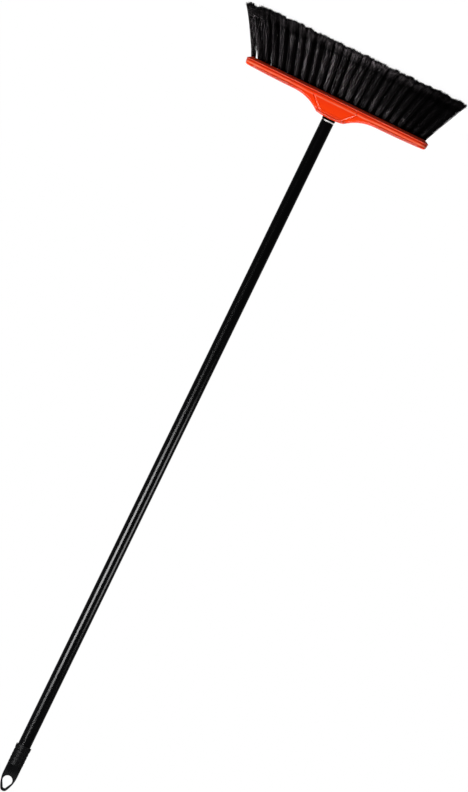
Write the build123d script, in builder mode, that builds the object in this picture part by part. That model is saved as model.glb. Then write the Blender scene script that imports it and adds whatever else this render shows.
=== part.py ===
"""Indoor broom: a moulded head with flared bristles on a screw-in tube handle.

Millimetres. The broom stands upright on its bristle tips: +Z runs up the handle,
X runs along the head and the front of the head faces -Y. The origin is on the
floor, under the handle's axis.
"""

import os
from math import cos, hypot, radians, sin

from build123d import *

# Bristles
BRISTLE_LENGTH = 86.5  # from the floor to the underside of the block
TUFT_PITCH = 13.4
TUFTS_PER_ROW = 24  # second and fourth rows, the others have one tuft less
ROW_PITCH = 8.4
ROW_COUNT = 5
END_FLARE = 41.0  # how far the outermost tuft leans out along the head
SIDE_FLARE = 8.4  # how far the outermost row leans out to the front or back
STRAND_ROOT_SIZE = 1.5
STRAND_TIP_SIZE = 2.1
STRAND_ROOT_SPACING = 2.6
STRAND_SET_IN = 1.0  # how deep each strand runs into its backing
BACKING_THICKNESS = 3.0
BACKING_END_MARGIN = 3.5  # backing left beyond the last tuft
BACKING_CLEARANCE = 0.05

# Wire anchors above the tufts
ANCHOR_WIDTH = 5.0
ANCHOR_THICKNESS = 0.5
ANCHOR_HEIGHT = 2.5
ANCHOR_CLEARANCE = 0.05

# Head block
BLOCK_LENGTH = 332.0
BLOCK_DEPTH = 47.0
BLOCK_END_RADIUS = 15.0
RIM_LIP = 1.4  # how far the rim stands out from the wall above it
RIM_HEIGHT = 5.6
RIM_DRAFT = 25.0  # how far the rim draws in towards the bristles, in degrees
RIM_LOWER_RADIUS = 1.8
RIM_UPPER_RADIUS = 0.7
WALL_HEIGHT = 3.8  # upright wall between the rim and the sloping wall
WALL_DRAFT = 16.0  # slope of the wall above, in degrees
WALL_BREAK_RADIUS = 12.0
BAR_HEIGHT = 17.2  # underside to the top of the bar beside the hub
BAR_END_DROP = 2.2  # how much lower the bar's top is at its ends
BAR_END_RADIUS = 7.5  # rounded end of the bar's top, seen from the front
NOSE_RUN = 14.0  # how far from each end the underside starts to rise
NOSE_RISE = 5.5
NOSE_RADIUS = 3.0
HUB_HEIGHT = 37.5  # underside to the top of the hub
HUB_TOP_WIDTH = 50.0
HUB_CROWN = 2.6  # rise of the hub's top from its corners to its middle
HUB_FOOT_WIDTH = 148.0
HUB_CORNER_RADIUS = 5.0
TOP_EDGE_RADIUS = 4.0

# Raised panel on each face of the hub
PANEL_TOP_WIDTH = 38.0
PANEL_BOTTOM_WIDTH = 82.0
PANEL_TOP_MARGIN = 6.5  # below the top of the hub
PANEL_CORNER_RADIUS = 2.5
PANEL_DRAFT = 13.0  # less than the wall's, so that the panel rises out of the wall towards its top
PANEL_SINK = 0.1  # how far its foot lies below the wall
PANEL_ROOT = 2.2  # how deep it is rooted
PANEL_BEVEL = 60.0
RELIEF_WIDTH = 4.0  # groove along each side of the panel, partly filled by the bevel
RELIEF_DEPTH = 1.2

# Handle tube
TUBE_DIAMETER = 22.0
TUBE_WALL = 0.5
TUBE_LENGTH = 1180.0
TUBE_EDGE_RADIUS = 0.2

# Threaded tip
THREAD_DIAMETER = 18.4
THREAD_LENGTH = 24.0
THREAD_CLEARANCE = 0.1
THREAD_NOSE_CHAMFER = 1.6
SOCKET_END_GAP = 1.0
SOCKET_MOUTH_CHAMFER = 0.8
SEAT_DEPTH = 0.8  # flat seat sunk in the hub's crown for the collar
SEAT_MARGIN = 0.7
SEAT_GAP = 0.05
COLLAR_HEIGHT = 4.0
COLLAR_BULGE = 0.5
STEM_LENGTH = 32.0
STEM_CLEARANCE = 0.05
STEM_BORE = 12.0
STEM_BORE_DEPTH = 40.0
STEM_LEAD = 1.5
RIB_COUNT = 8
RIB_WIDTH = 1.8
RIB_HEIGHT = 0.9

# Hanger cap
CAP_LENGTH = 82.5
CAP_BORE_DEPTH = 30.6
CAP_CLEARANCE = 0.05
CAP_WALL = 1.6
CAP_TIP_RADIUS = 6.5
CAP_TAPER_START = 52.0  # from the cap's mouth to where the loop starts to narrow
SLEEVE_LENGTH = 33.0  # thicker ribbed sleeve round the tube
SLEEVE_STEP = 0.3
MOUTH_BEAD_HEIGHT = 6.0
MOUTH_BEAD_STEP = 0.4
GROOVE_COUNT = 4
GROOVE_PITCH = 6.4
GROOVE_RADIUS = 1.4
GROOVE_DEPTH = 0.5
LOOP_THICKNESS = 9.0
SCOOP_START = 34.5  # from the cap's mouth to the foot of the flat faces
SCOOP_END = 51.0
HOLE_CENTRE = 63.3  # from the cap's mouth to the wide part of the hole
HOLE_RADIUS = 8.3
HOLE_TIP_CENTRE = 74.4
HOLE_TIP_RADIUS = 3.0
HOLE_EDGE_RADIUS = 1.0

# How close to a height or a place an edge or a face lies to count as being there
SAME_PLACE = 0.01
# How far up a face looks, as its normal's height, to count as part of the top
TOP_FACE_RISE = 0.6

# Heights worked out from the sizes above
underside_z = BRISTLE_LENGTH
rim_top_z = underside_z + RIM_HEIGHT
break_z = rim_top_z + WALL_HEIGHT
hub_top_z = underside_z + HUB_HEIGHT
seat_z = hub_top_z - SEAT_DEPTH
collar_z = seat_z + SEAT_GAP
tube_z = collar_z + COLLAR_HEIGHT + SEAT_GAP
tube_top_z = tube_z + TUBE_LENGTH
cap_z = tube_top_z - CAP_BORE_DEPTH

# Radii that fits share
tube_radius = TUBE_DIAMETER / 2
tube_bore_radius = tube_radius - TUBE_WALL
thread_radius = THREAD_DIAMETER / 2
collar_radius = tube_radius + COLLAR_BULGE
cap_radius = tube_radius + CAP_CLEARANCE + CAP_WALL

# Tuft field
tuft_reach = TUFT_PITCH * (TUFTS_PER_ROW - 1) / 2
row_reach = ROW_PITCH * (ROW_COUNT - 1) / 2
backing_length = 2 * (tuft_reach + BACKING_END_MARGIN)
backing_width = ROW_PITCH - 2 * BACKING_CLEARANCE
field_depth = ROW_PITCH * ROW_COUNT
end_spread = 1 + END_FLARE / tuft_reach
side_spread = 1 + SIDE_FLARE / row_reach


def row_y(row):
    """Place of a row of tufts across the block, front row first."""
    return row * ROW_PITCH - row_reach


def row_tufts(row):
    """Roots of the tufts in one row: every second row sits between its neighbours' tufts."""
    count = TUFTS_PER_ROW - 1 + row % 2
    start = -TUFT_PITCH * (count - 1) / 2
    return [(start + column * TUFT_PITCH, row_y(row)) for column in range(count)]


def strand(root, tip):
    """One four-sided strand, from inside its backing down to a flat-cut tip on the floor."""
    with BuildSketch(Plane.XY.offset(underside_z + STRAND_SET_IN)) as root_end:
        with Locations(root):
            Rectangle(STRAND_ROOT_SIZE, STRAND_ROOT_SIZE)
    with BuildSketch(Plane.XY) as tip_end:
        with Locations(tip):
            Rectangle(STRAND_TIP_SIZE, STRAND_TIP_SIZE)
    return loft([root_end.sketch.face(), tip_end.sketch.face()], ruled=True)


def tuft_strands(x, y):
    """Four strands of one tuft, which fan out until the tips stand evenly apart."""
    root_offset = STRAND_ROOT_SPACING / 2
    tip_x_offset = TUFT_PITCH * end_spread / 4
    tip_y_offset = ROW_PITCH * side_spread / 4
    strands = []
    for side_x in (-1, 1):
        for side_y in (-1, 1):
            root = (x + side_x * root_offset, y + side_y * root_offset)
            tip = (x * end_spread + side_x * tip_x_offset, y * side_spread + side_y * tip_y_offset)
            strands.append(strand(root, tip))
    return strands


def hub_face(side, draft, sink=0.0):
    """Plane on the front or back of the hub, which leans in from the wall's break by a draft."""
    lean = radians(draft)
    return Plane(
        origin=(0, side * (BLOCK_DEPTH / 2 - sink), break_z),
        x_dir=(-side, 0, 0),
        z_dir=(0, side * cos(lean), sin(lean)),
    )


def panel_outline(plane, margin=0.0):
    """Outline of a hub's panel, which narrows to its top, with a margin added at each side."""
    bottom_half = PANEL_BOTTOM_WIDTH / 2 + margin
    top_half = PANEL_TOP_WIDTH / 2 + margin
    rise = hub_top_z - PANEL_TOP_MARGIN - break_z
    with BuildSketch(plane) as outline:
        with BuildLine():
            Polyline((-bottom_half, 0), (bottom_half, 0), (top_half, rise), (-top_half, rise), close=True)
        make_face()
        fillet(outline.vertices(), radius=PANEL_CORNER_RADIUS)
    return outline.sketch


os.makedirs("parts", exist_ok=True)
tufts = [spot for row in range(ROW_COUNT) for spot in row_tufts(row)]

# Head block
with BuildPart() as head_block:
    # Rim round the underside, which draws in towards the bristles
    with BuildSketch(Plane.XY.offset(rim_top_z)):
        RectangleRounded(
            BLOCK_LENGTH + 2 * RIM_LIP, BLOCK_DEPTH + 2 * RIM_LIP, BLOCK_END_RADIUS + RIM_LIP
        )
    extrude(amount=-RIM_HEIGHT, taper=RIM_DRAFT)
    fillet(head_block.faces().sort_by(Axis.Z)[0].edges(), radius=RIM_LOWER_RADIUS)
    fillet(head_block.faces().sort_by(Axis.Z)[-1].edges(), radius=RIM_UPPER_RADIUS)

    # Upright wall, then the sloping wall up to the hub's top
    with BuildSketch(Plane.XY.offset(rim_top_z)):
        RectangleRounded(BLOCK_LENGTH, BLOCK_DEPTH, BLOCK_END_RADIUS)
    extrude(amount=WALL_HEIGHT)
    with BuildSketch(Plane.XY.offset(break_z)):
        RectangleRounded(BLOCK_LENGTH, BLOCK_DEPTH, BLOCK_END_RADIUS)
    extrude(amount=hub_top_z - break_z, taper=WALL_DRAFT)
    break_edges = head_block.edges().filter_by_position(
        Axis.Z, break_z - SAME_PLACE, break_z + SAME_PLACE
    )
    fillet(break_edges, radius=WALL_BREAK_RADIUS)

    # Front silhouette: crowned hub, hollow shoulders and a bar that narrows to a nose at each end
    hub_half = HUB_TOP_WIDTH / 2
    foot_half = HUB_FOOT_WIDTH / 2
    reach = BLOCK_LENGTH / 2 + RIM_LIP
    bar_z = underside_z + BAR_HEIGHT
    bar_end_z = bar_z - BAR_END_DROP
    nose_z = underside_z + NOSE_RISE
    with BuildSketch(Plane.XZ) as silhouette:
        with BuildLine():
            TangentArc((0, hub_top_z), (hub_half, hub_top_z - HUB_CROWN), tangent=(1, 0))
            TangentArc((foot_half, bar_z), (hub_half, hub_top_z - HUB_CROWN), tangent=(-1, 0))
            TangentArc((foot_half, bar_z), (reach, bar_end_z), tangent=(1, 0))
            Line((reach, bar_end_z), (reach, nose_z))
            TangentArc((reach - NOSE_RUN, underside_z), (reach, nose_z), tangent=(1, 0))
            Line((reach - NOSE_RUN, underside_z), (0, underside_z))
            mirror(about=Plane.YZ)
        make_face()
        hub_corners = silhouette.vertices().filter_by(
            lambda corner: abs(abs(corner.X) - hub_half) < SAME_PLACE
        )
        fillet(hub_corners, radius=HUB_CORNER_RADIUS)
        end_corners = silhouette.vertices().filter_by(
            lambda corner: abs(abs(corner.X) - reach) < SAME_PLACE
        )
        noses, bar_ends = end_corners.group_by(Axis.Y)
        fillet(bar_ends, radius=BAR_END_RADIUS)
        fillet(noses, radius=NOSE_RADIUS)
    extrude(amount=BLOCK_DEPTH, both=True, mode=Mode.INTERSECT)

    # Rounded top edges, all but the seams across the top
    top_faces = head_block.faces().filter_by(lambda face: face.normal_at().Z > TOP_FACE_RISE)
    top_faces = top_faces.filter_by(lambda face: face.center().Z > break_z)
    seams = top_faces.edges().filter_by(Axis.Y)
    fillet([edge for edge in top_faces.edges() if edge not in seams], radius=TOP_EDGE_RADIUS)

    # Raised panel on the front and back of the hub, between two grooves
    for side in (-1, 1):
        relief = panel_outline(hub_face(side, WALL_DRAFT), RELIEF_WIDTH)
        extrude(relief, amount=-RELIEF_DEPTH, mode=Mode.SUBTRACT)
        panel = panel_outline(hub_face(side, PANEL_DRAFT, PANEL_SINK))
        extrude(panel, amount=-PANEL_ROOT, taper=-PANEL_BEVEL)

    # Socket for the threaded tip, with a flat seat for its collar
    with Locations((0, 0, hub_top_z)):
        CounterBoreHole(
            radius=thread_radius + THREAD_CLEARANCE,
            counter_bore_radius=collar_radius + SEAT_MARGIN,
            counter_bore_depth=SEAT_DEPTH,
            depth=SEAT_DEPTH + THREAD_LENGTH + SOCKET_END_GAP,
        )
    level_faces = head_block.faces().filter_by(Plane.XY)
    seat = level_faces.filter_by_position(Axis.Z, seat_z - SAME_PLACE, seat_z + SAME_PLACE)
    socket_mouth = seat.edges().filter_by(GeomType.CIRCLE).sort_by(SortBy.RADIUS)[0]
    chamfer(socket_mouth, length=SOCKET_MOUTH_CHAMFER)

    # Pocket for the bristles' backing, with a slot above each tuft for its anchor
    with BuildSketch(Plane.XY.offset(underside_z)):
        Rectangle(backing_length + 2 * BACKING_CLEARANCE, field_depth)
    extrude(amount=BACKING_THICKNESS, mode=Mode.SUBTRACT)
    with BuildSketch(Plane.XY.offset(underside_z + BACKING_THICKNESS)):
        with Locations(tufts):
            Rectangle(ANCHOR_WIDTH + 2 * ANCHOR_CLEARANCE, ANCHOR_THICKNESS + 2 * ANCHOR_CLEARANCE)
    extrude(amount=ANCHOR_HEIGHT + ANCHOR_CLEARANCE, mode=Mode.SUBTRACT)
head_block.part.label = "head_block"
export_step(head_block.part, "parts/head_block.step")

# Wire anchors, one standing on the backing above each tuft
with BuildPart() as tuft_anchors:
    with BuildSketch(Plane.XY.offset(underside_z + BACKING_THICKNESS)):
        with Locations(tufts):
            Rectangle(ANCHOR_WIDTH, ANCHOR_THICKNESS)
    extrude(amount=ANCHOR_HEIGHT)
tuft_anchors.part.label = "tuft_anchors"
export_step(tuft_anchors.part, "parts/tuft_anchors.step")

# Bristle rows, front row first, each with its slice of the block's underside
for row in range(ROW_COUNT):
    row_name = f"bristle_row_{row + 1}"
    strands = [piece for x, y in row_tufts(row) for piece in tuft_strands(x, y)]
    with BuildPart() as bristle_row:
        with BuildSketch(Plane.XY.offset(underside_z)):
            with Locations((0, row_y(row))):
                Rectangle(backing_length, backing_width)
        extrude(amount=BACKING_THICKNESS)
        add(strands)
    bristle_row.part.label = row_name
    export_step(bristle_row.part, f"parts/{row_name}.step")

# Threaded tip: screw end, barrel-shaped collar and a hollow stem with ribs inside the tube
thread_end_z = collar_z - THREAD_LENGTH
collar_top_z = collar_z + COLLAR_HEIGHT
stem_top_z = collar_top_z + STEM_LENGTH
rib_radius = tube_bore_radius - STEM_CLEARANCE
stem_radius = rib_radius - RIB_HEIGHT
with BuildPart() as threaded_tip:
    with BuildSketch(Plane.XZ):
        with BuildLine():
            Polyline(
                (tube_radius, collar_z),
                (thread_radius, collar_z),
                (thread_radius, thread_end_z + THREAD_NOSE_CHAMFER),
                (thread_radius - THREAD_NOSE_CHAMFER, thread_end_z),
                (0, thread_end_z),
                (0, stem_top_z),
                (stem_radius, stem_top_z),
                (stem_radius, collar_top_z),
                (tube_radius, collar_top_z),
            )
            ThreePointArc(
                (tube_radius, collar_top_z),
                (collar_radius, collar_z + COLLAR_HEIGHT / 2),
                (tube_radius, collar_z),
            )
        make_face()
    revolve(axis=Axis.Z)
    with BuildSketch(Plane.XY.offset(collar_top_z)) as ribs:
        with PolarLocations(0, RIB_COUNT):
            Rectangle(rib_radius, RIB_WIDTH, align=(Align.MIN, Align.CENTER))
        Circle(rib_radius, mode=Mode.INTERSECT)
    extrude(amount=STEM_LENGTH - STEM_LEAD)
    with BuildSketch(Plane.XY.offset(stem_top_z)):
        Circle(STEM_BORE / 2)
    extrude(amount=-STEM_BORE_DEPTH, mode=Mode.SUBTRACT)
threaded_tip.part.label = "threaded_tip"
export_step(threaded_tip.part, "parts/threaded_tip.step")

# Handle tube
with BuildPart() as handle_tube:
    with BuildSketch(Plane.XY.offset(tube_z)):
        Circle(tube_radius)
        Circle(tube_bore_radius, mode=Mode.SUBTRACT)
    extrude(amount=TUBE_LENGTH)
    end_circles = handle_tube.edges().filter_by(GeomType.CIRCLE)
    fillet(end_circles.group_by(SortBy.RADIUS)[-1], radius=TUBE_EDGE_RADIUS)
handle_tube.part.label = "handle_tube"
export_step(handle_tube.part, "parts/handle_tube.step")

# Hanger cap: pointed bullet with scooped flat faces and a teardrop hole
cap_top_z = cap_z + CAP_LENGTH
taper_z = cap_z + CAP_TAPER_START
sleeve_radius = cap_radius + SLEEVE_STEP
bead_radius = sleeve_radius + MOUTH_BEAD_STEP
tip_centre_z = cap_top_z - CAP_TIP_RADIUS
tip_rise = tip_centre_z - taper_z
# The flank arc starts upright at the sleeve and meets the tip arc on a common tangent
flank_radius = (cap_radius**2 + tip_rise**2 - CAP_TIP_RADIUS**2) / (2 * (cap_radius - CAP_TIP_RADIUS))
flank_to_tip = hypot(flank_radius - cap_radius, tip_rise)
meet_x = CAP_TIP_RADIUS * (flank_radius - cap_radius) / flank_to_tip
meet_z = tip_centre_z + CAP_TIP_RADIUS * tip_rise / flank_to_tip
with BuildPart() as hanger_cap:
    with BuildSketch(Plane.XZ):
        with BuildLine():
            Polyline(
                (0, cap_top_z),
                (0, cap_z),
                (bead_radius, cap_z),
                (bead_radius, cap_z + MOUTH_BEAD_HEIGHT),
                (sleeve_radius, cap_z + MOUTH_BEAD_HEIGHT + MOUTH_BEAD_STEP),
                (sleeve_radius, cap_z + SLEEVE_LENGTH),
                (cap_radius, cap_z + SLEEVE_LENGTH + SLEEVE_STEP),
                (cap_radius, taper_z),
            )
            flank = TangentArc((cap_radius, taper_z), (meet_x, meet_z), tangent=(0, 1))
            TangentArc((meet_x, meet_z), (0, cap_top_z), tangent=flank % 1)
        make_face()
    revolve(axis=Axis.Z)

    # Grip grooves round the sleeve
    groove_centre = sleeve_radius + GROOVE_RADIUS - GROOVE_DEPTH
    first_groove_z = cap_z + MOUTH_BEAD_HEIGHT + GROOVE_PITCH / 2
    with BuildSketch(Plane.XZ):
        groove_heights = [first_groove_z + turn * GROOVE_PITCH for turn in range(GROOVE_COUNT)]
        with Locations([(groove_centre, height) for height in groove_heights]):
            Circle(GROOVE_RADIUS)
    revolve(axis=Axis.Z, mode=Mode.SUBTRACT)

    # Scooped flat faces that leave the loop
    loop_half = LOOP_THICKNESS / 2
    scoop_z = cap_z + SCOOP_END
    scoop_edge = sleeve_radius + MOUTH_BEAD_STEP
    with BuildSketch(Plane.YZ):
        with BuildLine():
            TangentArc((loop_half, scoop_z), (scoop_edge, cap_z + SCOOP_START), tangent=(0, -1))
            Polyline(
                (scoop_edge, cap_z + SCOOP_START),
                (scoop_edge, cap_top_z),
                (loop_half, cap_top_z),
                (loop_half, scoop_z),
            )
        make_face()
        mirror(about=Plane.YZ)
    extrude(amount=bead_radius, both=True, mode=Mode.SUBTRACT)

    # Teardrop hanging hole
    with BuildSketch(Plane.XZ):
        with Locations((0, cap_z + HOLE_CENTRE)):
            Circle(HOLE_RADIUS)
        with Locations((0, cap_z + HOLE_TIP_CENTRE)):
            Circle(HOLE_TIP_RADIUS)
        make_hull()
    extrude(amount=bead_radius, both=True, mode=Mode.SUBTRACT)

    # Bore that the tube is pressed into
    with BuildSketch(Plane.XY.offset(cap_z)):
        Circle(tube_radius + CAP_CLEARANCE)
    extrude(amount=CAP_BORE_DEPTH, mode=Mode.SUBTRACT)

    # Rounded edges of the hole
    flat_faces = hanger_cap.faces().filter_by(Axis.Y).filter_by(lambda face: face.center().Z > scoop_z)
    fillet([edge for face in flat_faces for edge in face.inner_wires().edges()], radius=HOLE_EDGE_RADIUS)
hanger_cap.part.label = "hanger_cap"
export_step(hanger_cap.part, "parts/hanger_cap.step")
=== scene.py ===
"""Looks of the indoor broom: finishes, filaments, screw thread, light and camera.

Metres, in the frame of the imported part: the broom stands on its bristle tips, +Z runs up
the handle, X runs along the head and the front of the head faces -Y.
"""

import math

import bpy
import numpy as np
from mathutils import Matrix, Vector


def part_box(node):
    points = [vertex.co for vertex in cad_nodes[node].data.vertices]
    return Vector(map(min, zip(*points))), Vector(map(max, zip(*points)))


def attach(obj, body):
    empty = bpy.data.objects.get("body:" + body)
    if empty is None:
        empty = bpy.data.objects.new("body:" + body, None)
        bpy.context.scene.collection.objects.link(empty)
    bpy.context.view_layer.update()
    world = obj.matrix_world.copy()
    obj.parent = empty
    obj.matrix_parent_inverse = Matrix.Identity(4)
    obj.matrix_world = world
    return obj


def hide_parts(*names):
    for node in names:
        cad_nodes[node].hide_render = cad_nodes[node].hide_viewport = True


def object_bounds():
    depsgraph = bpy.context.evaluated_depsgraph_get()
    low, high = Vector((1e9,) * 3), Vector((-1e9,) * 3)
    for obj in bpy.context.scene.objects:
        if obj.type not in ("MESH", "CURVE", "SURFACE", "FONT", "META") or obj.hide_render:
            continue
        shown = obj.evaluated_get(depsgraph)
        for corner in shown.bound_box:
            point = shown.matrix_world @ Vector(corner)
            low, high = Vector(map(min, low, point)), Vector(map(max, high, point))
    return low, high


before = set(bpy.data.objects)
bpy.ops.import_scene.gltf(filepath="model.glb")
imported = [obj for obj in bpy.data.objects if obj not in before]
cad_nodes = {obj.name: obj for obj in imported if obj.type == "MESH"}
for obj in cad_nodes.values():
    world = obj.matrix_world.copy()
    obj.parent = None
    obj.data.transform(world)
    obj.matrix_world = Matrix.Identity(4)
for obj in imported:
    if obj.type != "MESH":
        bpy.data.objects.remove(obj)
cad_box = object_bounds()

# Camera: a long lens straight at the front, rolled so that the handle hangs down to the left
IMAGE_HEIGHT = 792
PIXEL_SIZE = 0.0016538  # at the broom
AIM = (-0.0591, 0.0, 0.6046)
ROLL = math.radians(154.07)
LENS = 600.0  # in millimetres, like the sensor
SENSOR = 36.0
VIEW_DEPTH = 100.0

# Tufts, as the block is drilled for them
TUFT_PITCH = 0.0134
TUFTS_PER_ROW = 24
ROW_PITCH = 0.0084
ROW_COUNT = 5
TUFT_RADIUS = 0.0046
TUFT_JITTER = 0.0003
TUFT_LEAN = 0.0010  # how far a tuft's tips stray together
TUFT_SET_IN = 0.0025
# Where two roots stand apart, and how far the left and the right one are shifted
TUFT_GAPS = {0.1508: (-0.0040, 0.0018), 0.1240: (-0.0016, 0.0010)}

# Strip of the block that each row stands in
BED_THICKNESS = 0.003
BED_END_MARGIN = 0.0035
BED_CLEARANCE = 0.00005
HOLE_MARGIN = 0.0005
HOLE_RIM = 0.0003
HOLE_DEPTH = 0.0006

# Filaments
FIRST_SEED = 250
LOCKS_PER_TUFT = 9
FILAMENTS_PER_LOCK = 10
FILAMENTS_PER_TUFT = LOCKS_PER_TUFT * FILAMENTS_PER_LOCK
GOLDEN_ANGLE = math.radians(137.508)
FILAMENT_SIDES = 3
FILAMENT_JOINTS = 4
FILAMENT_RADIUS = 0.0003
RADIUS_SHARES = (0.85, 1.15)  # thinnest and thickest filament, as shares of that radius
FILAMENT_TAPER = 0.7
FILAMENT_LENGTH = 0.0938
FILAMENT_BOW = 0.0013
FLARE_CURL = 0.04  # how far a leaning filament sags inwards, as a share of its lean
END_FLARE = 0.0403  # how far the outermost tuft leans out along the head
SIDE_FLARE = 0.0066
TIP_DRIFT = 0.005  # all the tips are swept a little to one side
TIP_REACH_X = 0.0068  # radius of a tuft at its tips
TIP_REACH_Y = 0.0064
TIP_STRAY = 0.0012
LOCK_REACH = 0.35  # radius of a lock at its tips, as a share of its tuft's
LOCK_ROOT_REACH = 0.75  # and at its roots, where the locks run together
TRIM_WAVES = {0.061: 0.4, 0.027: 2.1}  # length and phase of each wave along the trimmed line
TRIM_WAVE_HEIGHT = 0.0005
LOCK_TRIM = 0.0050
TRIM_SPREAD = 0.0008
# How pale the tips turn at some places along the head: their wear, with painted light in the middle and
# painted shade towards the ends
TIP_WEAR_AND_SHADE = {-0.150: 0.1, 0.0: 1.7, 0.080: 0.65, 0.150: 0.6, 0.175: 0.15}
TONE_RANGE = (0.1, 1.0)
TONE_POWER = 2  # keeps most of the filaments dark

# Split ends
SPLITS_PER_FILAMENT = 2
SPLIT_JOINTS = 2
SPLIT_LENGTH = 0.012
SPLIT_SHARES = (0.5, 1.2)  # shortest and longest split end, as shares of that length
SPLIT_STRAY = 0.0011
SPLIT_BOW = 0.0004
SPLIT_THICKNESS = 0.6
SPLIT_START = 0.8  # how far along a filament its split ends count as being

# Screw end of the handle
SCREW_PITCH = 0.00508
SCREW_DEPTH = 0.0013
SCREW_LENGTH = 0.024
SCREW_RADIUS = 0.0092
SCREW_NOSE = 0.0016
THREAD_FORM = {0.0: 0, 0.26: 0, 0.42: 1, 0.74: 1, 0.90: 0, 1.0: 0}  # depth along one pitch
COLLAR_HEIGHT = 0.004
COLLAR_BULGE = 0.0005
COLLAR_EDGE = 0.0006
COLLAR_SHARES = (0.04, 0.96)  # where the bulge starts and ends, as shares of the height
COLLAR_STEPS = 9
STEM_RADIUS = 0.0095
STEM_BORE_RADIUS = 0.006
STEM_BORE_DEPTH = 0.04
RIB_COUNT = 8
RIB_HEIGHT = 0.0009
ROUND_STEPS = 64
SMOOTH_ANGLE = math.radians(35)
SAME_POINT = 1e-6
LEVEL = 0.1  # a normal that climbs less than this is level
STEEP = 0.9  # and one that climbs more than this is upright

# Colours, in pairs where a pattern mixes two
ORANGES = (0.86, 0.032, 0.001), (0.92, 0.046, 0.002)
# Darker oranges for painted shade in the groove and along the top edges
GROOVE_SHADE_ORANGE = (0.48, 0.024, 0.005)
BAR_EDGE_SHADE_ORANGE = (0.43, 0.022, 0.002)
HUB_EDGE_SHADE_ORANGE = (0.52, 0.026, 0.003)
# Paler oranges for painted highlights along the crest and the rim
CREST_HIGHLIGHT_ORANGE = (0.92, 0.25, 0.14)
RIM_HIGHLIGHT_ORANGE = (0.82, 0.11, 0.07)
FILAMENT_BLACK = (0.0015, 0.0013, 0.0015)
# Pale colour for the worn tips and for the painted light at the roots
FILAMENT_WEAR_AND_LIGHT = (0.62, 0.55, 0.58)
FILAMENT_GLINT = (1.0, 0.86, 0.92)
COAT_BLACKS = (0.0006, 0.0006, 0.0007), (0.0012, 0.0012, 0.0014)
BARE_STEEL = (0.62, 0.61, 0.60)
MOULDING_BLACKS = (0.0010, 0.0010, 0.0011), (0.0020, 0.0020, 0.0022)
WIRE_STEELS = (0.52, 0.52, 0.53), (0.66, 0.66, 0.67)
FLOOR_GREYS = (0.030, 0.030, 0.030), (0.035, 0.035, 0.035)
WHITE = (1.0, 1.0, 1.0)

# Painted highlights along edges of the head: height above its underside, rise on the hub and paler colour
PAINTED_HIGHLIGHT_EDGES = {"crest": (0.0106, 0.0014, CREST_HIGHLIGHT_ORANGE), "rim": (0.0050, -0.0006, RIM_HIGHLIGHT_ORANGE)}
HIGHLIGHT_FADE = 0.0018

# Painted shade in the groove above the rim and along the top edges: heights above the underside
GROOVE_HEIGHT = 0.0069
GROOVE_FADE = 0.0018
BAR_EDGE_HEIGHTS = (0.0117, 0.0132)  # where it sets in and where it is full
HUB_EDGE_HEIGHTS = (0.0275, 0.0325)
HUB_FOOT_X = (0.050, 0.085)  # where the hub runs out into the bar
WALL_SLOPE = math.tan(math.radians(16))
WALL_REACH = (0.0226, 0.0238)  # depth plus slope times height, from the flat top to the sloping wall

# Bare steel at the tube's lower edge
BARE_EDGE = 0.0020
BARE_FADE = 0.0003

# Studio
FLOOR_SIZE = 80.0
FLOOR_DROP = 0.0004
FLOOR_GLOW = 0.95
FLOOR_FADE = (0.4, 2.5)  # how far from the broom the floor's glow starts and ends rising to white
WORLD_FILL = 0.03
HEAD_MIDDLE = (0, 0, 0.1)

# Sizes worked out from the values above and from the frame
underside_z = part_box("head_block")[0].z
tube_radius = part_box("handle_tube")[1].x
tuft_reach = TUFT_PITCH * (TUFTS_PER_ROW - 1) / 2
row_reach = ROW_PITCH * (ROW_COUNT - 1) / 2


def deselect():
    """Nothing selected, so that the next operator acts on new work alone."""
    bpy.ops.object.select_all(action="DESELECT")


def edit(select="SELECT"):
    """Edit mode on the active mesh, with all of it or none of it selected."""
    bpy.ops.object.mode_set(mode="EDIT")
    bpy.ops.mesh.select_mode(type="VERT")
    bpy.ops.mesh.select_all(action=select)


def leave_edit():
    """Object mode again."""
    bpy.ops.object.mode_set(mode="OBJECT")


def done():
    """Back from edit mode, with the new piece's place and size moved into its mesh."""
    leave_edit()
    bpy.ops.object.transform_apply(location=True, rotation=True, scale=True)
    return bpy.context.object


def select_faces(piece, wanted):
    """Edit mode with only those faces selected that a test on a face picks out."""
    edit("DESELECT")
    bpy.ops.mesh.select_mode(type="FACE")
    leave_edit()
    for face in piece.data.polygons:
        face.select = bool(wanted(face))
    bpy.ops.object.mode_set(mode="EDIT")


def settle(piece, name, body, material):
    """Names a finished piece, gives it its finish and lets it ride on its body."""
    piece.name = name
    piece.data.name = name
    piece.data.materials.clear()
    piece.data.materials.append(material)
    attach(piece, body)


# Finishes

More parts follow.
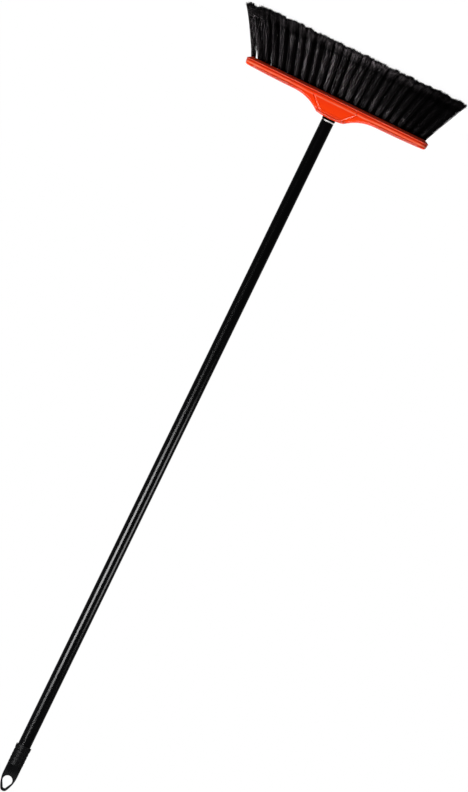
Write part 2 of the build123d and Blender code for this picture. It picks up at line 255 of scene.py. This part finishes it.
class NodeTree:
    """A node tree, with methods that add nodes and give their outputs."""

    def __init__(self, tree):
        self.tree = tree

    def feed(self, socket, value):
        """Links a socket to an output, or sets it to a number, a vector or a colour."""
        if isinstance(value, bpy.types.NodeSocket):
            self.tree.links.new(value, socket)
        elif socket.type == "RGBA":
            socket.default_value = (*value, 1.0)
        else:
            socket.default_value = value

    def math(self, operation, *values):
        """What an operation makes of its values, each a number or an output."""
        node = self.tree.nodes.new("ShaderNodeMath")
        node.operation = operation
        for socket, value in zip(node.inputs, values):
            self.feed(socket, value)
        return node.outputs["Value"]

    def times(self, first, *others):
        """The product of some values."""
        for other in others:
            first = self.math("MULTIPLY", first, other)
        return first

    def ranged(self, value, low, high, start=0.3, end=0.7):
        """A value that runs from low to high while the input runs from start to end."""
        node = self.tree.nodes.new("ShaderNodeMapRange")
        self.feed(node.inputs["Value"], value)
        self.feed(node.inputs["From Min"], start)
        self.feed(node.inputs["From Max"], end)
        self.feed(node.inputs["To Min"], low)
        self.feed(node.inputs["To Max"], high)
        return node.outputs["Result"]

    def band(self, value, middle, fade):
        """1 where the input is at the middle, falling to 0 a fade away from it."""
        below = self.ranged(value, 0.0, 1.0, middle - fade, middle)
        above = self.ranged(value, 1.0, 0.0, middle, middle + fade)
        return self.times(below, above)

    def seen_directly(self):
        """1 for rays from the camera, from a reflection or through glass, and 0 for the light's own."""
        light_path = self.tree.nodes.new("ShaderNodeLightPath")
        share = light_path.outputs["Is Camera Ray"]
        for ray in ("Is Glossy Ray", "Is Transmission Ray"):
            share = self.math("MAXIMUM", share, light_path.outputs[ray])
        return share


class Finish(NodeTree):
    """The nodes of a new material, with patterns in object coordinates."""

    def __init__(self, name):
        self.material = bpy.data.materials.new(name)
        self.material.use_nodes = True
        super().__init__(self.material.node_tree)
        self.places = self.tree.nodes.new("ShaderNodeTexCoord").outputs["Object"]

    def axes(self):
        """X, Y and Z of a place."""
        split = self.tree.nodes.new("ShaderNodeSeparateXYZ")
        self.feed(split.inputs["Vector"], self.places)
        return [split.outputs[axis] for axis in "XYZ"]

    def distance(self):
        """How far a place is from the origin."""
        node = self.tree.nodes.new("ShaderNodeVectorMath")
        node.operation = "LENGTH"
        self.feed(node.inputs[0], self.places)
        return node.outputs["Value"]

    def attribute(self, name):
        """A value that the piece carries at each of its points."""
        node = self.tree.nodes.new("ShaderNodeAttribute")
        node.attribute_name = name
        return node.outputs["Fac"]

    def noise(self, scale, detail=2.0, stretch=(1.0, 1.0, 1.0)):
        """Noise with features about 1/scale metres across, drawn out along an axis by a small stretch."""
        mapping = self.tree.nodes.new("ShaderNodeMapping")
        self.feed(mapping.inputs["Vector"], self.places)
        self.feed(mapping.inputs["Scale"], stretch)
        texture = self.tree.nodes.new("ShaderNodeTexNoise")
        self.feed(texture.inputs["Vector"], mapping.outputs["Vector"])
        self.feed(texture.inputs["Scale"], scale)
        self.feed(texture.inputs["Detail"], detail)
        return texture.outputs["Fac"]

    def tint(self, share, first, second):
        """A colour mixed from two by a share, each a colour or another mix."""
        mix = self.tree.nodes.new("ShaderNodeMix")
        mix.data_type = "RGBA"
        self.feed(mix.inputs["Factor"], share)
        self.feed(mix.inputs["A"], first)
        self.feed(mix.inputs["B"], second)
        return mix.outputs["Result"]

    def bump(self, height, depth, strength, under=None):
        """A normal roughened by a height pattern of that depth in metres, over another if there is one."""
        node = self.tree.nodes.new("ShaderNodeBump")
        self.feed(node.inputs["Height"], height)
        self.feed(node.inputs["Distance"], depth)
        self.feed(node.inputs["Strength"], strength)
        if under:
            self.feed(node.inputs["Normal"], under)
        return node.outputs["Normal"]

    def shaded(self, looks):
        """The material, with its shader set to some looks."""
        shader = self.tree.nodes["Principled BSDF"]
        for name, value in looks.items():
            self.feed(shader.inputs[name], value)
        return self.material


def moulded_orange():
    """Glossy orange-red moulding with flow clouds, painted highlights along its crest and rim, and painted
    shade in its groove and along its top edges.
    """
    finish = Finish("moulded_orange")
    x, y, z = finish.axes()
    height = finish.math("SUBTRACT", z, underside_z)
    flow = finish.noise(scale=26.0, stretch=(0.5, 1.0, 1.6))
    streaks = finish.ranged(finish.noise(scale=90.0, stretch=(0.4, 0.4, 1.0)), 0.35, 1.0)
    skin = finish.noise(scale=900.0)
    # Painted shade: darker in the groove above the rim and along the top edges of the bar and the hub
    groove_shade = finish.band(height, GROOVE_HEIGHT, GROOVE_FADE)
    on_bar = finish.ranged(finish.math("ABSOLUTE", x), 0.0, 1.0, *HUB_FOOT_X)
    reach = finish.math("MULTIPLY_ADD", height, WALL_SLOPE, finish.math("ABSOLUTE", y))
    near_wall = finish.ranged(reach, 0.0, 1.0, *WALL_REACH)
    # Painted shade along the top edges of the bar and the hub
    bar_edge_shade = finish.times(finish.ranged(height, 0.0, 1.0, *BAR_EDGE_HEIGHTS), on_bar, near_wall)
    hub_edge_shade = finish.times(finish.ranged(height, 0.0, 1.0, *HUB_EDGE_HEIGHTS), near_wall)
    colour = finish.tint(finish.ranged(flow, 0.0, 1.0), *ORANGES)
    colour = finish.tint(groove_shade, colour, GROOVE_SHADE_ORANGE)
    colour = finish.tint(bar_edge_shade, colour, BAR_EDGE_SHADE_ORANGE)
    colour = finish.tint(hub_edge_shade, colour, HUB_EDGE_SHADE_ORANGE)
    # Painted highlights: paler bands along the crest and the rim, broken up by streaks
    for edge_height, rise, paler in PAINTED_HIGHLIGHT_EDGES.values():
        raised = finish.math("MULTIPLY_ADD", on_bar, rise, height)
        painted_highlight = finish.times(finish.band(raised, edge_height + rise, HIGHLIGHT_FADE), streaks)
        colour = finish.tint(painted_highlight, colour, paler)
    ripple = finish.bump(flow, depth=0.0004, strength=0.05)
    return finish.shaded({
        "Base Color": colour,
        "Roughness": finish.ranged(skin, 0.10, 0.14),
        "Normal": finish.bump(skin, depth=0.00003, strength=0.12, under=ripple),
        "Specular IOR Level": 0.06,
    })


def black_filament():
    """Black filament, with painted light that pales it at its root, and paler and duller towards its worn
    and split tips.
    """
    finish = Finish("black_filament")
    along = finish.attribute("along")
    worn = finish.ranged(along, 0.03, 1.0, start=0.80, end=0.96)
    # Painted light: paler near the root
    painted_root_light = finish.ranged(along, 0.08, 0.0, start=0.03, end=0.30)
    pale = finish.times(finish.math("ADD", worn, painted_root_light), finish.attribute("tone"))
    grain = finish.noise(scale=1400.0, stretch=(1.0, 1.0, 0.08))
    return finish.shaded({
        "Base Color": finish.tint(pale, FILAMENT_BLACK, FILAMENT_WEAR_AND_LIGHT),
        "Roughness": finish.ranged(grain, 0.38, 0.54),
        "Specular IOR Level": finish.ranged(along, 0.04, 0.01, start=0.70, end=0.80),
        "Specular Tint": FILAMENT_GLINT,
    })


def black_coat(bare_z):
    """Black coating on the steel tube, with orange peel and scuffs, worn bare at its lower edge."""
    finish = Finish("black_coat")
    z = finish.axes()[2]
    peel = finish.noise(scale=420.0)
    scuff = finish.noise(scale=160.0, detail=4.0, stretch=(1.0, 1.0, 0.06))
    coat = finish.tint(finish.ranged(scuff, 0.0, 1.0), *COAT_BLACKS)
    edge = finish.ranged(z, 1.0, 0.0, bare_z, bare_z + BARE_FADE)
    patches = finish.ranged(finish.noise(scale=150.0), 0.0, 1.0, start=0.47, end=0.57)
    bare = finish.times(edge, patches)
    return finish.shaded({
        "Base Color": finish.tint(bare, coat, BARE_STEEL),
        "Metallic": bare,
        "Roughness": finish.ranged(scuff, 0.14, 0.18),
        "Normal": finish.bump(peel, depth=0.00003, strength=0.06),
        "Specular IOR Level": 0.015,
    })


def black_moulding():
    """Satin black plastic with a fine spark-eroded skin."""
    finish = Finish("black_moulding")
    skin = finish.noise(scale=1500.0, detail=3.0)
    cloud = finish.ranged(finish.noise(scale=60.0), 0.0, 1.0)
    return finish.shaded({
        "Base Color": finish.tint(cloud, *MOULDING_BLACKS),
        "Roughness": finish.ranged(skin, 0.36, 0.50),
        "Normal": finish.bump(skin, depth=0.00005, strength=0.15),
        "Specular IOR Level": 0.009,
    })


def drawn_wire():
    """Drawn steel wire, brushed along its length."""
    finish = Finish("drawn_wire")
    lines = finish.noise(scale=2200.0, stretch=(0.08, 1.0, 1.0))
    return finish.shaded({
        "Base Color": finish.tint(finish.ranged(lines, 0.0, 1.0), *WIRE_STEELS),
        "Roughness": finish.ranged(lines, 0.28, 0.42),
        "Metallic": 1.0,
    })


def pale_floor():
    """Pale floor, white to the camera and in reflections but for the object's shadow."""
    finish = Finish("pale_floor")
    glow = finish.ranged(finish.distance(), FLOOR_GLOW, 1.0, *FLOOR_FADE)
    return finish.shaded({
        "Base Color": finish.tint(finish.noise(scale=3.0), *FLOOR_GREYS),
        "Roughness": 0.9,
        "Specular IOR Level": 0.0,
        "Emission Color": WHITE,
        "Emission Strength": finish.times(glow, finish.seen_directly()),
    })


# Bristles

def row_y(row):
    """Place of a row of tufts across the block, front row first."""
    return row * ROW_PITCH - row_reach


def row_tufts(row):
    """Roots of one row's tufts along the head: every second row sits between its neighbours' tufts."""
    count = TUFTS_PER_ROW - 1 + row % 2
    return (np.arange(count) - (count - 1) / 2) * TUFT_PITCH


def filament_pattern(joints):
    """One straight filament, 1 long and 1 in radius, as points and faces."""
    deselect()
    bpy.ops.mesh.primitive_cone_add(
        vertices=FILAMENT_SIDES, radius1=1.0, radius2=FILAMENT_TAPER, depth=1.0, location=(0, 0, 0.5)
    )
    for joint in range(1, joints):
        edit()
        bpy.ops.mesh.bisect(plane_co=(0, 0, joint / joints), plane_no=(0, 0, 1))
        leave_edit()
    pattern = done()
    points = np.array([vertex.co for vertex in pattern.data.vertices])
    faces = [tuple(face.vertices) for face in pattern.data.polygons]
    bpy.data.objects.remove(pattern)
    return points, faces


def bowed(roots, tips, bows, share):
    """Points at a share of the way along filaments that bow out in the middle."""
    return roots + (tips - roots) * share + bows * 4 * share * (1 - share)


def lay_filaments(pattern, roots, tips, bows, radii, turns):
    """Points and faces of a copy of the pattern from each root to each tip."""
    points, faces = pattern
    axis = bowed(roots[:, None], tips[:, None], bows[:, None], points[:, 2][None, :, None])
    cosine, sine = np.cos(turns)[:, None], np.sin(turns)[:, None]
    x, y = points[:, 0][None], points[:, 1][None]
    ring = np.stack([x * cosine - y * sine, x * sine + y * cosine, np.zeros_like(x * cosine)], axis=2)
    laid = axis + ring * radii[:, None, None]
    starts = range(0, len(points) * len(roots), len(points))
    laid_faces = [tuple(index + start for index in face) for start in starts for face in faces]
    return laid.reshape(-1, 3), laid_faces


def round_places(chance, count):
    """Random places spread evenly over a disc of radius 1."""
    angle = chance.uniform(0, 2 * math.pi, count)
    return np.sqrt(chance.uniform(0, 1, count)) * np.array([np.cos(angle), np.sin(angle)])


def lock_places(chance, tufts):
    """Places of the locks in each tuft, spread evenly over its disc like seeds in a sunflower."""
    order = np.arange(LOCKS_PER_TUFT)
    turn = order * GOLDEN_ANGLE + chance.uniform(0, 2 * math.pi, (tufts, 1))
    reach = np.sqrt((order + 0.5) / LOCKS_PER_TUFT)
    return np.array([reach * np.cos(turn), reach * np.sin(turn)]).reshape(2, -1)


def gap_shifts(tuft_x):
    """How far each root is shifted where two of them stand apart."""
    shift = np.zeros_like(tuft_x)
    for gap_x, (left, right) in TUFT_GAPS.items():
        beside = np.abs(tuft_x - gap_x) < TUFT_PITCH / 2
        shift += beside * np.where(tuft_x < gap_x, left, right)
    return shift


def inside(depths):
    """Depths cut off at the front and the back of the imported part."""
    return np.clip(depths, cad_box[0][1], cad_box[1][1])


def trims(chance, tip_x, lock_count):
    """How far short of its reach each filament ends: in waves along the head, by its lock and by itself."""
    waves = [1 + np.sin(2 * math.pi * tip_x / length + phase) for length, phase in TRIM_WAVES.items()]
    by_lock = LOCK_TRIM * np.sqrt(chance.uniform(0, 1, lock_count))
    by_itself = np.abs(chance.normal(0, TRIM_SPREAD, len(tip_x)))
    return TRIM_WAVE_HEIGHT * sum(waves) + np.repeat(by_lock, FILAMENTS_PER_LOCK) + by_itself


def tuft_fan(row, chance):
    """Roots and tips of one row's filaments, which fan out of round tufts in locks to a ragged trim."""
    tuft_x = row_tufts(row)
    tuft_count = len(tuft_x)
    count = tuft_count * FILAMENTS_PER_TUFT
    tuft_x = tuft_x + chance.normal(0, TUFT_JITTER, tuft_count)
    leans = chance.normal(0, TUFT_LEAN, (2, tuft_count))
    lean_x, lean_y = np.repeat(leans, FILAMENTS_PER_TUFT, axis=1)
    locks = np.repeat(lock_places(chance, tuft_count), FILAMENTS_PER_LOCK, axis=1)
    places = round_places(chance, count)

    across, deep = TUFT_RADIUS * (locks * (1 - LOCK_ROOT_REACH) + places * LOCK_ROOT_REACH)
    root_x = np.repeat(tuft_x + gap_shifts(tuft_x), FILAMENTS_PER_TUFT) + across
    root_y = row_y(row) + deep
    root_z = np.full(count, underside_z + TUFT_SET_IN)

    flared_x = np.repeat(tuft_x, FILAMENTS_PER_TUFT) * (1 + END_FLARE / tuft_reach)
    middle_x = flared_x + TIP_DRIFT + lean_x
    middle_y = row_y(row) * (1 + SIDE_FLARE / row_reach) + lean_y
    across, deep = locks * (1 - LOCK_REACH) + places * LOCK_REACH
    tip_x = middle_x + TIP_REACH_X * across + chance.normal(0, TIP_STRAY, count)
    tip_y = inside(middle_y + TIP_REACH_Y * deep + chance.normal(0, TIP_STRAY, count))
    # Down to the floor, but for the filaments that lean too far to reach it
    lean = np.hypot(tip_x - root_x, tip_y - root_y)
    reach_z = np.maximum(underside_z - np.sqrt(FILAMENT_LENGTH**2 - lean**2), 0.0)
    tip_z = reach_z + trims(chance, tip_x, tuft_count * LOCKS_PER_TUFT)
    return np.stack([root_x, root_y, root_z], axis=1), np.stack([tip_x, tip_y, tip_z], axis=1)


def tones(chance, wear_and_shade, pattern):
    """How pale each point of some filaments may turn, drawn one by one and scaled by their wear and by
    painted light and shade along the head.
    """
    drawn = chance.uniform(*TONE_RANGE, len(wear_and_shade)) ** TONE_POWER
    return np.repeat(wear_and_shade * drawn, len(pattern[0]))


def filament_mesh(name, points, faces, values):
    """A smooth mesh of filaments that carries some values at its points."""
    mesh = bpy.data.meshes.new(name)
    mesh.from_pydata(points.tolist(), [], faces)
    for attribute, at_points in values.items():
        layer = mesh.attributes.new(attribute, "FLOAT", "POINT")
        layer.data.foreach_set("value", at_points.astype(np.float32))
    mesh.polygons.foreach_set("use_smooth", np.ones(len(mesh.polygons), bool))
    return mesh


def bristle_row(row, pattern, split_pattern, material):
    """One row of tufts as loose filaments with split ends."""
    chance = np.random.default_rng(FIRST_SEED + row)
    roots, tips = tuft_fan(row, chance)
    count = len(roots)
    bows = chance.normal(0, FILAMENT_BOW, (count, 3)) * (1, 1, 0)
    bows -= (tips - roots) * (FLARE_CURL, 0, 0)
    radii = FILAMENT_RADIUS * chance.uniform(*RADIUS_SHARES, count)
    turns = chance.uniform(0, 2 * math.pi, count)
    points, faces = lay_filaments(pattern, roots, tips, bows, radii, turns)
    along = np.tile(pattern[0][:, 2], count)
    # Tips paler in the middle of the head and darker at its ends: wear with painted light and shade
    wear_and_shade = np.interp(tips[:, 0], list(TIP_WEAR_AND_SHADE), list(TIP_WEAR_AND_SHADE.values()))
    tone = tones(chance, wear_and_shade, pattern)

    # Split ends that fray from the last stretch of each filament
    parents = np.repeat(np.arange(count), SPLITS_PER_FILAMENT)
    split_count = len(parents)
    fork = 1 - SPLIT_LENGTH / FILAMENT_LENGTH * chance.uniform(*SPLIT_SHARES, (split_count, 1))
    split_roots = bowed(roots[parents], tips[parents], bows[parents], fork)
    split_tips = tips[parents] + chance.normal(0, SPLIT_STRAY, (split_count, 3))
    split_tips[:, 1] = inside(split_tips[:, 1])
    split_tips[:, 2] = np.abs(split_tips[:, 2])
    split_bows = chance.normal(0, SPLIT_BOW, (split_count, 3)) * (1, 1, 0)
    split_radii = radii[parents] * SPLIT_THICKNESS
    split_points, split_faces = lay_filaments(
        split_pattern, split_roots, split_tips, split_bows, split_radii, turns[parents]
    )
    split_along = SPLIT_START + (1 - SPLIT_START) * np.tile(split_pattern[0][:, 2], split_count)
    split_tone = tones(chance, wear_and_shade[parents], split_pattern)

    name = f"filaments_row_{row + 1}"
    faces += [tuple(index + len(points) for index in face) for face in split_faces]
    values = {
        "along": np.concatenate([along, split_along]),
        "tone": np.concatenate([tone, split_tone]),
    }
    mesh = filament_mesh(name, np.vstack([points, split_points]), faces, values)
    piece = bpy.data.objects.new(name, mesh)
    bpy.context.scene.collection.objects.link(piece)
    settle(piece, name, "head", material)
    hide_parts(f"bristle_row_{row + 1}")
    return piece


def tuft_bed(row, material):
    """The strip of the block that one row of tufts stands in, with a sunk hole for each tuft."""
    tuft_x = row_tufts(row)
    hole_reach = TUFT_RADIUS + HOLE_MARGIN
    length = 2 * (tuft_reach + BED_END_MARGIN)
    deselect()
    bpy.ops.mesh.primitive_cube_add(size=1.0, location=(0, row_y(row), underside_z + BED_THICKNESS / 2))
    bpy.context.object.scale = (length, ROW_PITCH - 2 * BED_CLEARANCE, BED_THICKNESS)
    bed = done()
    for x in tuft_x:
        for edge_x in (x - hole_reach, x + hole_reach):
            edit()
            bpy.ops.mesh.bisect(plane_co=(edge_x, 0, 0), plane_no=(1, 0, 0))
            leave_edit()

    def at_tuft(face):
        """Picks out the parts of the underside that a tuft comes out of."""
        return face.normal.z < -STEEP and np.abs(tuft_x - face.center.x).min() < TUFT_RADIUS

    select_faces(bed, at_tuft)
    bpy.ops.mesh.inset(thickness=HOLE_RIM, depth=0.0, use_individual=True)
    bpy.ops.mesh.inset(thickness=HOLE_RIM, depth=-HOLE_DEPTH, use_individual=True)
    leave_edit()
    settle(bed, f"tuft_bed_{row + 1}", "head", material)


# Screw end

def trace(outline):
    """A line of edges through points of a radius and a height: one corner drawn on from point to point."""
    deselect()
    corners = [Vector((radius, 0, height)) for radius, height in outline]
    bpy.ops.mesh.primitive_plane_add(size=SCREW_PITCH, location=corners[0])
    edit()
    bpy.ops.mesh.merge(type="CENTER")
    for here, there in zip(corners, corners[1:]):
        bpy.ops.mesh.extrude_vertices_move(TRANSFORM_OT_translate={"value": there - here})
    return done()


def close_up():
    """Merges the active mesh's doubled points and turns its faces outwards."""
    edit()
    bpy.ops.mesh.remove_doubles(threshold=SAME_POINT)
    bpy.ops.mesh.normals_make_consistent(inside=False)
    leave_edit()


def screw_thread(nose_z, top_z):
    """A right-hand thread of trapezoid form, cut level at both ends and tapered at its nose."""
    root = SCREW_RADIUS - SCREW_DEPTH
    start_z = nose_z - SCREW_PITCH
    thread = trace([
        (root + depth * SCREW_DEPTH, start_z + share * SCREW_PITCH) for share, depth in THREAD_FORM.items()
    ])
    # One turn too many at each end, which is then cut off
    turns = thread.modifiers.new("turns", "SCREW")
    turns.axis = "Z"
    turns.screw_offset = SCREW_PITCH
    turns.iterations = math.ceil((top_z - nose_z) / SCREW_PITCH) + 2
    turns.steps = turns.render_steps = ROUND_STEPS
    bpy.ops.object.modifier_apply(modifier=turns.name)
    close_up()
    edit()
    bpy.ops.mesh.bisect(plane_co=(0, 0, nose_z), plane_no=(0, 0, 1), clear_inner=True, use_fill=True)
    bpy.ops.mesh.select_all(action="SELECT")
    bpy.ops.mesh.bisect(plane_co=(0, 0, top_z), plane_no=(0, 0, 1), clear_outer=True, use_fill=True)
    leave_edit()
    close_up()
    for vertex in thread.data.vertices:
        limit = SCREW_RADIUS - SCREW_NOSE + (vertex.co.z - nose_z)
        vertex.co.xy *= min(1.0, limit / max(vertex.co.xy.length, SAME_POINT))
    return thread


def screw_end(material):
    """The handle's screw end: thread, barrel-shaped collar and a hollow ribbed stem inside the tube."""
    low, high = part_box("threaded_tip")
    collar_z = low.z + SCREW_LENGTH
    collar_top = collar_z + COLLAR_HEIGHT
    collar_edge = tube_radius - COLLAR_EDGE
    bore_z = high.z - STEM_BORE_DEPTH
    barrel = [
        (tube_radius + COLLAR_BULGE * (1 - (2 * share - 1) ** 2), collar_z + share * COLLAR_HEIGHT)
        for share in np.linspace(*COLLAR_SHARES, COLLAR_STEPS)
    ]
    body = trace([
        (0, collar_z), (collar_edge, collar_z), *barrel, (collar_edge, collar_top),
        (STEM_RADIUS, collar_top), (STEM_RADIUS, high.z), (STEM_BORE_RADIUS, high.z),
        (STEM_BORE_RADIUS, bore_z), (0, bore_z),
    ])
    edit()
    bpy.ops.mesh.spin(steps=ROUND_STEPS, angle=2 * math.pi, center=(0, 0, 0), axis=(0, 0, 1))
    leave_edit()
    close_up()
    rib_step = 2 * math.pi / RIB_COUNT
    rib_half = 2 * math.pi / ROUND_STEPS

    def on_rib(face):
        """Picks out the sides of the stem that a rib grows from, two for each rib."""
        turn = math.atan2(face.center.y, face.center.x) % rib_step
        on_stem = STEM_BORE_RADIUS < face.center.xy.length <= STEM_RADIUS and face.center.z > collar_top
        return on_stem and abs(face.normal.z) < LEVEL and min(turn, rib_step - turn) < rib_half

    select_faces(body, on_rib)
    bpy.ops.mesh.extrude_region_shrink_fatten(TRANSFORM_OT_shrink_fatten={"value": RIB_HEIGHT})
    leave_edit()
    thread = screw_thread(low.z, collar_z + COLLAR_HEIGHT / 2)
    deselect()
    thread.select_set(True)
    body.select_set(True)
    bpy.context.view_layer.objects.active = body
    bpy.ops.object.join()
    bpy.ops.object.shade_smooth_by_angle(angle=SMOOTH_ANGLE)
    settle(body, "screw_end", "screw_tip", material)
    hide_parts("threaded_tip")
    return body


# Studio

def add_floor():
    """A wide pale floor just under the bristle tips."""
    deselect()
    bpy.ops.mesh.primitive_plane_add(size=FLOOR_SIZE, location=(0, 0, -FLOOR_DROP))
    floor = bpy.context.object
    floor.name = "floor"
    floor.data.materials.append(pale_floor())


def add_world():
    """White behind the object, and a dimmer white that lights it from all round."""
    world = bpy.data.worlds.new("studio")
    world.use_nodes = True
    nodes = NodeTree(world.node_tree)
    background = world.node_tree.nodes["Background"]
    nodes.feed(background.inputs["Color"], WHITE)
    strength = nodes.ranged(nodes.seen_directly(), WORLD_FILL, 1.0, start=0.0, end=1.0)
    nodes.feed(background.inputs["Strength"], strength)
    bpy.context.scene.world = world


def round_the_handle(azimuth, distance, height):
    """A place at an azimuth from the front, positive to the right, and a distance from the handle."""
    angle = math.radians(azimuth)
    return (math.sin(angle) * distance, -math.cos(angle) * distance, height)


def lamp(name, place, aim, size, power, beam=180):
    """A soft rectangular lamp that faces its aim, with a grid on it where the beam is narrow."""
    light = bpy.data.lights.new(name, "AREA")
    light.shape = "RECTANGLE"
    light.size, light.size_y = size
    light.energy = power
    light.spread = math.radians(beam)
    box = bpy.data.objects.new(name, light)
    bpy.context.scene.collection.objects.link(box)
    box.location = place
    box.rotation_mode = "QUATERNION"
    box.rotation_quaternion = (Vector(aim) - Vector(place)).to_track_quat("-Z", "Y")
    box.visible_camera = False
    return box


def key_lamp(name, **setting):
    """A lamp that brings out the colours and leaves no highlight."""
    lamp(name, **setting).visible_glossy = False


def highlight_lamp(name, pieces, **setting):
    """A lamp that lays a highlight on some of the pieces."""
    box = lamp(name, **setting)
    box.visible_diffuse = False
    lit = bpy.data.collections.new(name)
    for piece in pieces:
        lit.objects.link(piece)
    box.light_linking.receiver_collection = lit


def add_lamps(head, handle, bristles):
    """Three keys for the colours, and highlights for the head, the bristles and the handle."""
    keys = {
        "right_key": (round_the_handle(azimuth=45, distance=1.1, height=1.65), 0.8, 47),
        "left_key": (round_the_handle(azimuth=-45, distance=1.4, height=2.1), 1.0, 27),
        "back_key": (round_the_handle(azimuth=165, distance=1.5, height=0.8), 0.9, 30),
    }
    for name, (place, width, power) in keys.items():
        key_lamp(name, place=place, aim=HEAD_MIDDLE, size=(width, width), power=power)

    # Over the head, one for its top edges and one for each side of the panel
    highlight_lamp("overhead", head, place=(0, -1.15, 2.2), aim=HEAD_MIDDLE, size=(1.0, 1.8), power=130)
    for x in (-1.42, 1.42):
        highlight_lamp(
            "side_overhead", head, place=(x, -0.44, 2.3), aim=HEAD_MIDDLE, size=(0.5, 0.5), power=24
        )

    # Beyond the ends of the head, one for the front of the bristles and one for the back
    boxes = {"bristle_box": (1, bristles, 2.9), "back_bristle_box": (-1, bristles[-2:], 1.5)}
    for name, (end, rows, power) in boxes.items():
        highlight_lamp(
            name, rows, place=(end * 0.9, end * -0.15, 0.21), aim=(end * 0.05, 0, 0.06),
            size=(0.04, 0.3), power=power, beam=8,
        )

    # Beside the handle
    highlight_lamp(
        "right_strip", handle, place=round_the_handle(azimuth=31, distance=2.4, height=0.98),
        aim=(0, 0, 0.98), size=(1.5, 0.44), power=92, beam=60,
    )
    highlight_lamp(
        "left_strip", handle, place=round_the_handle(azimuth=-61, distance=1.2, height=0.87),
        aim=(0, 0, 0.87), size=(0.62, 0.36), power=11, beam=60,
    )

    # Close to the floor, where only a raised camera sees them mirrored in the tube
    for azimuth in (34, 172):
        highlight_lamp(
            "low_strip", handle, place=round_the_handle(azimuth, distance=2.4, height=0.07),
            aim=(0, 0, 1.0), size=(1.4, 0.09), power=5, beam=20,
        )


def add_camera():
    """The camera at the photograph's angle, so far away that its frame is as tall as the pixels say."""
    distance = IMAGE_HEIGHT * PIXEL_SIZE * LENS / SENSOR
    camera_data = bpy.data.cameras.new("front_camera")
    camera_data.lens = LENS
    camera_data.sensor_width = SENSOR
    camera_data.clip_end = VIEW_DEPTH
    camera = bpy.data.objects.new("front_camera", camera_data)
    bpy.context.scene.collection.objects.link(camera)
    camera.location = Vector(AIM) - Vector((0, distance, 0))
    camera.rotation_euler = (math.radians(90), ROLL, 0)
    bpy.context.scene.camera = camera


# The broom's pieces
orange = moulded_orange()
moulding = black_moulding()
finishes = {
    "head_block": orange,
    "tuft_anchors": drawn_wire(),
    "handle_tube": black_coat(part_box("handle_tube")[0].z + BARE_EDGE),
    "hanger_cap": moulding,
}
for node, finish in finishes.items():
    cad_nodes[node].data.materials.clear()
    cad_nodes[node].data.materials.append(finish)
filament = filament_pattern(FILAMENT_JOINTS)
split_end = filament_pattern(SPLIT_JOINTS)
filament_finish = black_filament()
bristle_rows = [bristle_row(row, filament, split_end, filament_finish) for row in range(ROW_COUNT)]
for row in range(ROW_COUNT):
    tuft_bed(row, orange)
handle_screw = screw_end(moulding)

# The studio
add_floor()
add_world()
add_lamps(
    head=[cad_nodes["head_block"], handle_screw],
    handle=[cad_nodes["handle_tube"], cad_nodes["hanger_cap"]],
    bristles=bristle_rows,
)
add_camera()
bpy.context.scene.view_settings.view_transform = "Standard"
